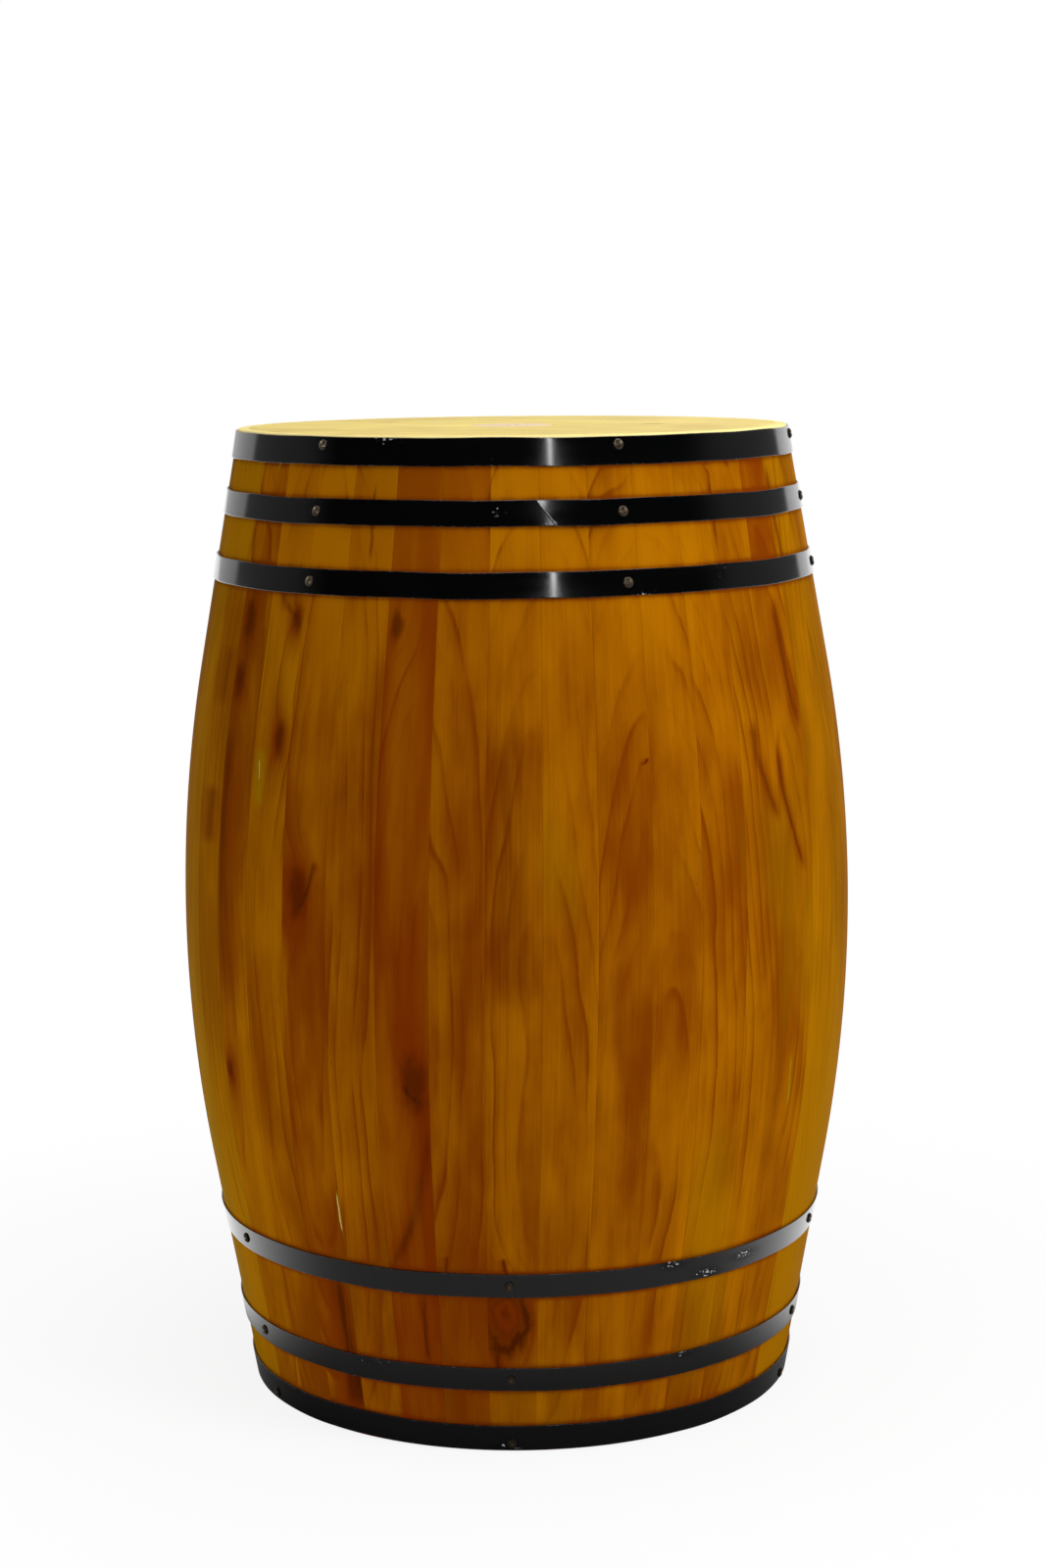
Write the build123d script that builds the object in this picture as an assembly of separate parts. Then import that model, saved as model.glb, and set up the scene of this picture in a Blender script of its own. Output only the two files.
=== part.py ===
from build123d import *

import os
from collections import namedtuple
from math import atan, cos, degrees, radians, sin, sqrt, tan

# Wooden cask: bowed staves round the Z axis, three nailed strap hoops at each end, and at each end a
# head of boards, tongued edge to edge, let in flush with the rim. The top head holds a tapered bung.
# The origin is at the centre of the bottom rim and +Z is up. Lengths are in millimetres. Angles are in
# degrees round +Z from the front of the cask, which faces -Y, and grow towards +X.

# Cask
HEIGHT = 900.0
BELLY_DIAMETER = 626.0
END_DIAMETER = 507.0
BEND_REACH = 118.0  # from the belly to where the straight end of a stave, carried on, meets its width

# Staves
STAVE_COUNT = 40
STAVE_THICKNESS = 20.0
FIRST_STAVE_ANGLE = -0.7
RIM_WALL = 10.0  # what the head's rebate leaves of a stave at the rim
RIM_CHAMFER = 1.2

# Heads
HEAD_THICKNESS = 18.0
HEAD_BOARDS = 5
HEAD_CLEARANCE = 0.2
TONGUE_LENGTH = 90.0  # along the joint of two boards
TONGUE_WIDTH = 16.0
TONGUE_THICKNESS = 5.0
TONGUE_SPACING = 220.0
TONGUE_CLEARANCE = 0.1

# Bung
BUNG_DIAMETER = 76.0
BUNG_LENGTH = 32.0
BUNG_TAPER = 3.5
BUNG_CHAMFER = 1.0
BUNG_CLEARANCE = 0.3

# Hoops
HOOP_THICKNESS = 1.5
HOOP_WIDTH = 22.0
HEAD_HOOP_WIDTH = 24.0
HOOP_CLEARANCE = 0.1
HEAD_HOOP_SETBACK = 1.5  # rim to hoop
UPPER_QUARTER_HOOP_DROP = 54.0  # top of the cask to the hoop's upper edge
UPPER_BILGE_HOOP_DROP = 114.0
LOWER_QUARTER_HOOP_RISE = 60.0  # bottom of the cask to the hoop's lower edge
LOWER_BILGE_HOOP_RISE = 151.0
LAP_LENGTH = 52.0
LAP_SLANT = 16.0  # how far the lap's cut end leans along the strap
FRONT_LAP_ANGLE = 6.0
BACK_LAP_ANGLE = 164.0

# Nails
NAIL_HEAD_DIAMETER = 9.5
NAIL_HEAD_HEIGHT = 2.2
NAIL_HEAD_FACETS = 8
NAIL_SHANK = 2.2  # side of the square shank
NAIL_LENGTH = 20.0
NAIL_POINT = 3.5
NAIL_CLEARANCE = 0.1
HEAD_NAIL_SETBACK = 8.5  # rim to nail, so that it enters the edge of the head
UPPER_NAIL_ANGLES = (-39.5, 20.5, 80.5, 140.5, 200.5, 260.5)
LOWER_NAIL_ANGLES = (-62.5, -2.0, 72.0, 126.0, 188.0, 242.0)
NAIL_DOME = ((1.0, 0.0), (0.8, 0.6), (0.4, 1.0))  # shares of the width and height of the head

# Worked out from the sizes above
TAPER = (BELLY_DIAMETER - END_DIAMETER) / 2 / (HEIGHT / 2 - BEND_REACH)
ARC_RADIUS = BEND_REACH / tan(atan(TAPER) / 2)
ARC_REACH = ARC_RADIUS * sin(atan(TAPER))
STAVE_PITCH = 360 / STAVE_COUNT
SEAT_RADIUS = END_DIAMETER / 2 - RIM_WALL
HEAD_RADIUS = SEAT_RADIUS - HEAD_CLEARANCE
CUT_OVERRUN = 1.0  # how far a cutting tool runs past the face that it enters

Hoop = namedtuple("Hoop", "name low high nail_height nail_angles lap_angle")


def hoop_row(name, low, width, nail_height, nail_angles, lap_angle=BACK_LAP_ANGLE):
    """A hoop by its lower edge, width and nails."""
    return Hoop(name, low, low + width, nail_height, nail_angles, lap_angle)


def plain_hoop(name, low, nail_angles, lap_angle=BACK_LAP_ANGLE):
    """A quarter or bilge hoop, nailed at the middle of its width."""
    return hoop_row(name, low, HOOP_WIDTH, low + HOOP_WIDTH / 2, nail_angles, lap_angle)


UPPER_HOOPS = [
    hoop_row("upper_head_hoop", HEIGHT - HEAD_HOOP_SETBACK - HEAD_HOOP_WIDTH, HEAD_HOOP_WIDTH,
             HEIGHT - HEAD_NAIL_SETBACK, UPPER_NAIL_ANGLES),
    plain_hoop("upper_quarter_hoop", HEIGHT - UPPER_QUARTER_HOOP_DROP - HOOP_WIDTH,
               UPPER_NAIL_ANGLES, FRONT_LAP_ANGLE),
    plain_hoop("upper_bilge_hoop", HEIGHT - UPPER_BILGE_HOOP_DROP - HOOP_WIDTH, UPPER_NAIL_ANGLES),
]
LOWER_HOOPS = [
    plain_hoop("lower_bilge_hoop", LOWER_BILGE_HOOP_RISE, LOWER_NAIL_ANGLES),
    plain_hoop("lower_quarter_hoop", LOWER_QUARTER_HOOP_RISE, LOWER_NAIL_ANGLES),
    hoop_row("lower_head_hoop", HEAD_HOOP_SETBACK, HEAD_HOOP_WIDTH, HEAD_NAIL_SETBACK, LOWER_NAIL_ANGLES),
]


def outer_radius(z):
    """Radius of the staves' outer face: one arc about the belly that runs on into straight tapers."""
    rise = abs(z - HEIGHT / 2)
    if rise > ARC_REACH:
        return BELLY_DIAMETER / 2 - TAPER * (rise - BEND_REACH)
    return BELLY_DIAMETER / 2 - ARC_RADIUS + sqrt(ARC_RADIUS**2 - rise**2)


def strap_radius(z, layers):
    """Radius inside a hoop at a height, moved out by a number of strap thicknesses."""
    return outer_radius(z) + HOOP_CLEARANCE + layers * HOOP_THICKNESS


def around(radius, angle, z):
    """Point at a radius and height, at an angle from the front of the cask."""
    return (radius * sin(radians(angle)), -radius * cos(radians(angle)), z)


def turned(edges, arc=360):
    """Solid turned about Z from a closed outline drawn as radius across and height up."""
    return revolve(Plane.XZ * make_face(edges), Axis.Z, arc)


def stave_blank():
    """One stave before drilling: the bowed section, rebated for the heads, turned through one pitch."""
    middle = HEIGHT / 2
    low, high = middle - ARC_REACH, middle + ARC_REACH
    rim = END_DIAMETER / 2 - RIM_CHAMFER

    def outside(z):
        return (outer_radius(z), z)

    def inside(z):
        return (outer_radius(z) - STAVE_THICKNESS, z)

    foot = Polyline(inside(low), inside(HEAD_THICKNESS), (SEAT_RADIUS, HEAD_THICKNESS), (SEAT_RADIUS, 0),
                    (rim, 0), outside(RIM_CHAMFER), outside(low))
    ledge = HEIGHT - HEAD_THICKNESS
    mouth = Polyline(outside(high), outside(HEIGHT - RIM_CHAMFER), (rim, HEIGHT), (SEAT_RADIUS, HEIGHT),
                     (SEAT_RADIUS, ledge), inside(ledge), inside(high))
    outer_belly = ThreePointArc(outside(low), outside(middle), outside(high))
    inner_belly = ThreePointArc(inside(high), inside(middle), inside(low))
    blank = turned([foot, outer_belly, mouth, inner_belly], STAVE_PITCH)
    return Rot(Z=-90 - STAVE_PITCH / 2) * blank


def nail_seats(hoop):
    """Planes on the strap where nails go in, with Z out along the nail, square to the strap."""
    slope = (outer_radius(hoop.high) - outer_radius(hoop.low)) / (hoop.high - hoop.low)
    radius = strap_radius(hoop.nail_height, 1)
    return [Plane(origin=around(radius, angle, hoop.nail_height), z_dir=around(1, angle, -slope))
            for angle in hoop.nail_angles]


def nail():
    """Rose-head nail: a faceted dome with its flat side on the XY plane, over a square pointed shank."""
    head = NAIL_HEAD_DIAMETER / 2
    dome = [Pos(Z=rise * NAIL_HEAD_HEIGHT) * RegularPolygon(spread * head, NAIL_HEAD_FACETS)
            for spread, rise in NAIL_DOME]
    section = Rectangle(NAIL_SHANK, NAIL_SHANK)
    shoulder = NAIL_POINT - NAIL_LENGTH
    point = loft([Pos(Z=shoulder) * section, Vertex(0, 0, -NAIL_LENGTH)])
    return loft(dome, ruled=True) + extrude(section, shoulder) + point


def nail_hole():
    """Tool for a nail's hole, placed as the nail is."""
    side = NAIL_SHANK + 2 * NAIL_CLEARANCE
    depth = NAIL_LENGTH + NAIL_CLEARANCE
    hole = Box(side, side, depth + CUT_OVERRUN, align=(Align.CENTER, Align.CENTER, Align.MAX))
    return Pos(Z=CUT_OVERRUN) * hole


def drilled(piece, tools):
    """The piece less those tools that reach it."""
    box = piece.bounding_box()
    near = [tool for tool in tools if box.overlaps(tool.bounding_box())]
    return piece - near if near else piece


def lap(hoop):
    """Overlapping end of a strap: a wedge that climbs out of the ring to a full second thickness."""
    def outline(z, shift):
        radius = outer_radius(z)
        end = hoop.lap_angle + degrees(shift / radius)
        root = hoop.lap_angle + degrees(LAP_LENGTH / radius)
        middle = (end + root) / 2
        inner, buried, proud = [strap_radius(z, layers) for layers in (0.5, 0.8, 2)]
        inner_face = ThreePointArc(around(inner, end, z), around(inner, middle, z), around(inner, root, z))
        outer_face = ThreePointArc(around(buried, root, z), around((buried + proud) / 2, middle, z),
                                   around(proud, end, z))
        return make_face([inner_face, Line(inner_face @ 1, outer_face @ 0), outer_face,
                          Line(outer_face @ 1, inner_face @ 0)])

    return loft([outline(hoop.low, LAP_SLANT / 2), outline(hoop.high, -LAP_SLANT / 2)], ruled=True)


def strap_hoop(hoop):
    """Conical strap that lies on the staves, with its lap and nail holes."""
    corners = [(strap_radius(z, layers), z) for z, layers in
               ((hoop.low, 0), (hoop.low, 1), (hoop.high, 1), (hoop.high, 0))]
    ring = turned([Polyline(*corners, close=True)])
    return drilled(ring + lap(hoop), [seat * nail_hole() for seat in nail_seats(hoop)])


def head_seams():
    """Y of each joint between two boards of a head."""
    width = 2 * HEAD_RADIUS / HEAD_BOARDS
    return [width * i - HEAD_RADIUS for i in range(1, HEAD_BOARDS)]


def tongues(middle_height, clearance=0.0):
    """Loose tongues across the joints of a head, or with a clearance the tools for their slots."""
    room = 2 * clearance
    tongue = Box(TONGUE_LENGTH + room, TONGUE_WIDTH + room, TONGUE_THICKNESS + room)
    return [Pos(x, y, middle_height) * tongue for y in head_seams()
            for x in (-TONGUE_SPACING / 2, TONGUE_SPACING / 2)]


def head_boards(bottom, tools):
    """Boards of a head from front to back, sawn from one round plan and cut by the tools."""
    tools = tools + tongues(bottom + HEAD_THICKNESS / 2, TONGUE_CLEARANCE)
    edges = [-END_DIAMETER] + head_seams() + [END_DIAMETER]
    boards = []
    for front, back in zip(edges, edges[1:]):
        strip = Pos(Y=(front + back) / 2) * Rectangle(END_DIAMETER, back - front)
        board = Pos(Z=bottom) * extrude(Circle(HEAD_RADIUS) & strip, HEAD_THICKNESS)
        boards.append(drilled(board, tools))
    return boards


def bung_radius(z, clearance=0.0):
    """Radius of the bung at a height, or with a clearance of its hole."""
    return BUNG_DIAMETER / 2 + clearance + (z - HEIGHT) * tan(radians(BUNG_TAPER))


def bung():
    """Tapered plug, flush with the top of the cask, with both its ends chamfered."""
    foot = HEIGHT - BUNG_LENGTH
    outline = Polyline((0, foot), (bung_radius(foot) - BUNG_CHAMFER, foot),
                       (bung_radius(foot + BUNG_CHAMFER), foot + BUNG_CHAMFER),
                       (bung_radius(HEIGHT - BUNG_CHAMFER), HEIGHT - BUNG_CHAMFER),
                       (bung_radius(HEIGHT) - BUNG_CHAMFER, HEIGHT), (0, HEIGHT), close=True)
    return turned([outline])


def bung_hole():
    """Tool for the bung's hole, running past both faces of the head."""
    low, high = HEIGHT - HEAD_THICKNESS - CUT_OVERRUN, HEIGHT + CUT_OVERRUN
    outline = Polyline((0, low), (bung_radius(low, BUNG_CLEARANCE), low),
                       (bung_radius(high, BUNG_CLEARANCE), high), (0, high), close=True)
    return turned([outline])


def build():
    """Every node of the cask by name."""
    nodes = {}
    nail_holes = [seat * nail_hole() for hoop in UPPER_HOOPS + LOWER_HOOPS for seat in nail_seats(hoop)]

    blank = stave_blank()
    for i in range(STAVE_COUNT):
        stave = Rot(Z=FIRST_STAVE_ANGLE + i * STAVE_PITCH) * blank
        nodes[f"stave_{i + 1:02d}"] = drilled(stave, nail_holes)

    for hoop in UPPER_HOOPS + LOWER_HOOPS:
        nodes[hoop.name] = strap_hoop(hoop)
    for name, hoops in (("upper_hoop_nails", UPPER_HOOPS), ("lower_hoop_nails", LOWER_HOOPS)):
        nodes[name] = Compound([seat * nail() for hoop in hoops for seat in nail_seats(hoop)])

    top = HEIGHT - HEAD_THICKNESS
    for i, board in enumerate(head_boards(top, nail_holes + [bung_hole()])):
        nodes[f"top_head_board_{i + 1}"] = board
    for i, board in enumerate(head_boards(0, nail_holes)):
        nodes[f"bottom_head_board_{i + 1}"] = board
    nodes["head_tongues"] = Compound(tongues(top + HEAD_THICKNESS / 2) + tongues(HEAD_THICKNESS / 2))
    nodes["bung"] = bung()
    return nodes


os.makedirs("parts", exist_ok=True)
for node, solid in build().items():
    export_step(solid, f"parts/{node}.step")
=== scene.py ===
import math

import bpy
import numpy as np
from bpy.props import FloatProperty, FloatVectorProperty, IntProperty, PointerProperty
from mathutils import Matrix, Vector


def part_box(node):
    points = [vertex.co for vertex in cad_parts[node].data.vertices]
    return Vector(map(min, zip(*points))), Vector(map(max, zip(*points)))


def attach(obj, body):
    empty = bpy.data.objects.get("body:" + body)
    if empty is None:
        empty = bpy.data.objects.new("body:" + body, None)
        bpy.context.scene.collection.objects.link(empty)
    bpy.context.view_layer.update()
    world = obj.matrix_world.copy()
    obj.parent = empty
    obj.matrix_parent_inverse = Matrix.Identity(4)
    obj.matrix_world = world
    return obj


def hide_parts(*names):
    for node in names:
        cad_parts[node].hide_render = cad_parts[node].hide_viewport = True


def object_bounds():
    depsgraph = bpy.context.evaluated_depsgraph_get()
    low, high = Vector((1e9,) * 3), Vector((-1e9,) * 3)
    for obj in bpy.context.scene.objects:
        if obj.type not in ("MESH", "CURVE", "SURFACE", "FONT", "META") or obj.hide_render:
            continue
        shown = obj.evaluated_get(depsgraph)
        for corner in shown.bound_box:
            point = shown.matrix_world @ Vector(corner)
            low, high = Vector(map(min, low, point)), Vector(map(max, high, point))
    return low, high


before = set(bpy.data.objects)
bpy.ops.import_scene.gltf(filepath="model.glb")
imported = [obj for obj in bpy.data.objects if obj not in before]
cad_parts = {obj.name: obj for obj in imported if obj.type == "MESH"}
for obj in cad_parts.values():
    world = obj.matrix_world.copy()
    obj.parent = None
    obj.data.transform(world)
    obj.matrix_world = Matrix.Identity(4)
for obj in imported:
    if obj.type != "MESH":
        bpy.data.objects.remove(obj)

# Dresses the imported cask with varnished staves, painted strap hoops, rose-head nails, boarded heads and a
# bung. Lengths are in metres in the cask's own frame, with +Z up and the front of the cask facing -Y.
# Angles run round +Z from the front and grow towards +X.

bl_info = {
    "name": "Wooden Cask",
    "version": (1, 0, 0),
    "blender": (4, 5, 0),
    "location": "View3D > Sidebar > Cask",
    "description": "Dresses a packed cask with staves, hoops, nails, heads and a bung, and sets its stage",
    "category": "Object",
}

CAD_BOX = [list(corner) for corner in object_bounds()]
HOOPS = ("upper_head_hoop", "upper_quarter_hoop", "upper_bilge_hoop",
         "lower_bilge_hoop", "lower_quarter_hoop", "lower_head_hoop")
UPPER_NAIL_ANGLES = (-39.5, 20.5, 80.5, 140.5, 200.5, 260.5)
LOWER_NAIL_ANGLES = (-62.5, -2.0, 72.0, 126.0, 188.0, 242.0)
FRONT_LAP_ANGLE = 6.0
BACK_LAP_ANGLE = 164.0
STAVE_SEED, HOOP_SEED, NAIL_SEED, HEAD_SEED = 40, 6, 36, 10
SHARP_ANGLE = math.radians(38)
RIM_BAND = 0.003  # height over which the rim's radius is read
# A quarter round in three steps, as shares of its radius
ROUND_UP = 1 - np.cos(np.radians([0, 30, 60, 90]))
ROUND_DOWN = 1 - np.sin(np.radians([0, 30, 60, 90]))
HOOP_EDGES = np.array([corner.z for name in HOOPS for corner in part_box(name)])


def node_radius(name, low, high):
    """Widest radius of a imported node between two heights."""
    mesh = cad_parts[name].data
    points = np.empty(len(mesh.vertices) * 3, np.float32)
    mesh.vertices.foreach_get("co", points)
    x, y, z = points.reshape(-1, 3).T
    level = (z >= low) & (z <= high)
    return float(np.hypot(x[level], y[level]).max())


HEIGHT = CAD_BOX[1][2]
STAVE_COUNT = sum(name.startswith("stave_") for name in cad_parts)
BELLY_RADIUS = node_radius("stave_01", 0, HEIGHT)
END_RADIUS = node_radius("stave_01", HEIGHT - RIM_BAND, HEIGHT)
HEAD_LOW, HEAD_HIGH = (corner.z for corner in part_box("top_head_board_1"))
HEAD_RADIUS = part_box("top_head_board_3")[1].x
BUNG_LOW, BUNG_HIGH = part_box("bung")


# Settings that a user would change

def length(name, text, default):
    """A length setting in metres."""
    return FloatProperty(name=name, description=text, default=default, min=0, precision=4, unit="LENGTH")


def angle(name, text, default):
    """An angle setting, given in degrees."""
    return FloatProperty(name=name, description=text, default=math.radians(default), subtype="ANGLE")


def colour(name, text, default):
    """A colour setting with linear values."""
    return FloatVectorProperty(name=name, description=text, default=default, size=3, min=0, max=1,
                               subtype="COLOR")


def power(name, text, default):
    """A lamp's power setting."""
    return FloatProperty(name=name, description=text, default=default, unit="POWER")


class CaskSizes(bpy.types.PropertyGroup):
    """Sizes of the cask's wood."""
    height: length("Height", "Floor to top rim", HEIGHT)
    belly_radius: length("Belly Radius", "Outer radius at half height", BELLY_RADIUS)
    end_radius: length("End Radius", "Outer radius at the rims", END_RADIUS)
    bend_reach: length("Bend Reach", "Half the height over which the staves bend", 0.118)
    stave_count: IntProperty(name="Staves", description="Number of staves", default=STAVE_COUNT, min=8)
    first_stave: angle("First Stave", "Angle of the middle of the first stave", -0.7)
    stave_lean: angle("Lean", "Turn of the staves' joints from the bottom to the top", 2.4)
    stave_thickness: length("Stave Thickness", "Thickness of the staves", 0.020)
    stave_arris: length("Stave Arris", "Rounding of the staves' long edges", 0.0003)
    rim_arris: length("Rim Arris", "Rounding of the rims", 0.0016)
    head_thickness: length("Head Thickness", "Thickness of the heads", HEAD_HIGH - HEAD_LOW)
    head_radius: length("Head Radius", "Radius of the heads", HEAD_RADIUS)
    head_clearance: length("Head Clearance", "Room between a head and its rebate", 0.0002)
    head_boards: IntProperty(name="Boards", description="Number of boards in a head", default=5, min=3)
    board_arris: length("Board Arris", "Rounding of the boards' edges", 0.0006)
    bung_radius: length("Bung Radius", "Radius of the bung at its top", BUNG_HIGH.x)
    bung_length: length("Bung Length", "Length of the bung", BUNG_HIGH.z - BUNG_LOW.z)
    bung_taper: angle("Bung Taper", "Slope of the bung's side", 3.5)
    bung_arris: length("Bung Arris", "Rounding of the bung's ends", 0.0012)
    bung_clearance: length("Bung Clearance", "Room between the bung and its hole", 0.0003)


class StrapSizes(bpy.types.PropertyGroup):
    """Sizes of the hoops and their nails."""
    thickness: length("Thickness", "Thickness of the straps", 0.0015)
    clearance: length("Clearance", "Room between a strap and the staves", 0.0001)
    arris: length("Arris", "Rounding of the straps' edges", 0.00025)
    lap: length("Lap", "Length of a strap's overlap", 0.044)
    lap_slant: length("Lap Slant", "How far the overlap's cut end leans along the strap", 0.016)
    lap_spring: length("Lap Spring", "How far the overlap's tip stands off the strap under it", 0.0008)
    joggle: length("Joggle", "Length over which a strap steps down from its overlap", 0.018)
    flutter: length("Flutter", "Unevenness of the straps' edges", 0.0007)
    ripple: length("Ripple", "Unevenness of the straps' faces", 0.0003)
    nail_radius: length("Nail Radius", "Radius of a nail's head", 0.00475)
    nail_height: length("Nail Height", "Height of a nail's head", 0.0022)
    nail_length: length("Nail Length", "Length of a nail's shank", 0.020)
    nail_shank: length("Nail Shank", "Half the width of a nail's shank", 0.0011)
    rim_nail_setback: length("Rim Nail Setback", "Rim to the nails of the head hoops", 0.0085)


class CaskColours(bpy.types.PropertyGroup):
    """Colours of the wood and metal."""
    honey: colour("Honey", "Palest varnished stave wood", (0.345, 0.118, 0.0005))
    amber: colour("Amber", "Deeper varnished stave wood", (0.160, 0.030, 0.0003))
    russet: colour("Russet", "Reddest stave wood", (0.160, 0.019, 0.0003))
    olive: colour("Olive", "Greenish gold in the varnish", (0.240, 0.125, 0.0004))
    knot: colour("Knot", "Knots and resin streaks", (0.050, 0.008, 0.0005))
    head_pale: colour("Head Pale", "Palest wood of the heads", (0.75, 0.58, 0.14))
    head_deep: colour("Head Deep", "Deeper wood of the heads", (0.56, 0.40, 0.085))
    stave_end: colour("Stave End", "Bare wood of stave ends and scratches", (0.76, 0.63, 0.26))
    bung_pale: colour("Bung Pale", "Palest wood of the bung", (0.70, 0.53, 0.36))
    bung_deep: colour("Bung Deep", "Deeper wood of the bung", (0.52, 0.34, 0.19))
    paint: colour("Hoop Paint", "Black paint of the hoops", (0.0008, 0.0009, 0.0010))
    bare_steel: colour("Bare Steel", "Scratched and worn places on the hoops", (0.60, 0.60, 0.61))
    bronze: colour("Nail Bronze", "Raised parts of the nails", (0.31, 0.24, 0.165))
    nail_recess: colour("Nail Recess", "Darkened hollows of the nails", (0.018, 0.014, 0.010))


class StageSettings(bpy.types.PropertyGroup):
    """The camera, lamps and floor."""
    camera_place: FloatVectorProperty(name="Camera", description="Place of the camera", size=3,
                                      unit="LENGTH", default=(-0.0003, -2.8567, 1.0022))
    camera_pitch: angle("Pitch", "How far the camera looks down", 8.75)
    camera_yaw: angle("Yaw", "How far the camera looks to the right", 0.143)
    camera_roll: angle("Roll", "How far the camera leans", -0.556)
    camera_lens: FloatProperty(name="Lens", description="Focal length in millimetres", default=70.19,
                               unit="CAMERA")
    floor: colour("Floor", "Colour of the floor", (0.80, 0.80, 0.80))
    sky: FloatProperty(name="Sky", description="Strength of the even light", default=0.43, min=0)
    strip: power("Strip", "Power of the strip lamp", 3.8)
    key: power("Key", "Power of the lamp on the right", 58)
    fill: power("Fill", "Power of the lamp on the left", 8)
    low: power("Low", "Power of the lamp by the floor", 1.2)
    top: power("Top", "Power of the lamp above", 30)


# Meshes

def vectors(x, y, z):
    """Vectors from arrays of their three values."""
    return np.stack(np.broadcast_arrays(x, y, z), axis=-1)


def around(radius, turn, z):
    """Points at radii and heights, at angles from the front of the cask."""
    return vectors(radius * np.sin(turn), -radius * np.cos(turn), z)


def smooth(low, high, value):
    """Smooth step from 0 at low to 1 at high."""
    share = np.clip((value - low) / (high - low), 0, 1)
    return share * share * (3 - 2 * share)


def shell_faces(shape, ring):
    """Faces of a grid of points, or of several alike, whose columns close round: the first and last rows of
    each are capped, or in a ring joined."""
    *copies, rows, columns = shape
    start = np.arange(math.prod(copies))[:, None, None] * rows * columns
    row = np.arange(rows if ring else rows - 1)[:, None]
    column = np.arange(columns)
    low, high = row * columns, (row + 1) % rows * columns
    after = (column + 1) % columns
    quads = np.stack([low + column, low + after, high + after, high + column], axis=-1).reshape(-1, 4)
    faces = (start + quads).reshape(-1, 4).tolist()
    if not ring:
        caps = np.stack([column[::-1], column + (rows - 1) * columns])
        faces += (start + caps).reshape(-1, columns).tolist()
    return faces


def new_object(name, data):
    """A new object in the scene."""
    made = bpy.data.objects.new(name, data)
    bpy.context.scene.collection.objects.link(made)
    return made


def make_piece(stands_for, points, material, values, body="cask", ring=False):
    """Makes the mesh piece that stands for a node, with a vector attribute for each of the values, and sets
    it on its body."""
    name = f"dressed_{stands_for}"
    mesh = bpy.data.meshes.new(name)
    mesh.from_pydata(points.reshape(-1, 3), [], shell_faces(points.shape[:-1], ring))
    for key, array in values.items():
        layer = mesh.attributes.new(key, "FLOAT_VECTOR", "POINT")
        spread = np.broadcast_to(array, points.shape).astype(np.float32)
        layer.data.foreach_set("vector", spread.ravel())
    mesh.shade_smooth()
    mesh.set_sharp_from_angle(angle=SHARP_ANGLE)
    mesh.materials.append(material)
    piece = new_object(name, mesh)
    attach(piece, body)
    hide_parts(stands_for)


def outer_radius(sizes, z):
    """Radius of the staves' outer face: one arc about the belly that runs on into straight tapers."""
    taper = (sizes.belly_radius - sizes.end_radius) / (sizes.height / 2 - sizes.bend_reach)
    arc = sizes.bend_reach / math.tan(math.atan(taper) / 2)
    reach = arc * math.sin(math.atan(taper))
    rise = np.abs(z - sizes.height / 2)
    bowed = sizes.belly_radius - arc + np.sqrt(arc**2 - np.minimum(rise, reach)**2)
    return np.where(rise > reach, sizes.belly_radius - taper * (rise - sizes.bend_reach), bowed)


# Staves

# How a stave's tone changes between the upper hoops, where the table doesn't say
HEAD_PALER = 0.12
HEAD_RED = 0.5


class Stave:
    """What sets one stave apart: how dark it is at its foot and top, how red it is, how it was sawn, its
    knots and streaks, and how dark and red it is between the upper hoops."""

    def __init__(self, foot, top, red, pith, knots=(), streaks=(), head=None):
        self.foot = foot
        self.top = top
        self.red = red
        self.pith = pith
        self.knots = knots
        self.streaks = streaks
        self.head = head or (top - HEAD_PALER, red * HEAD_RED)


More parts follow.
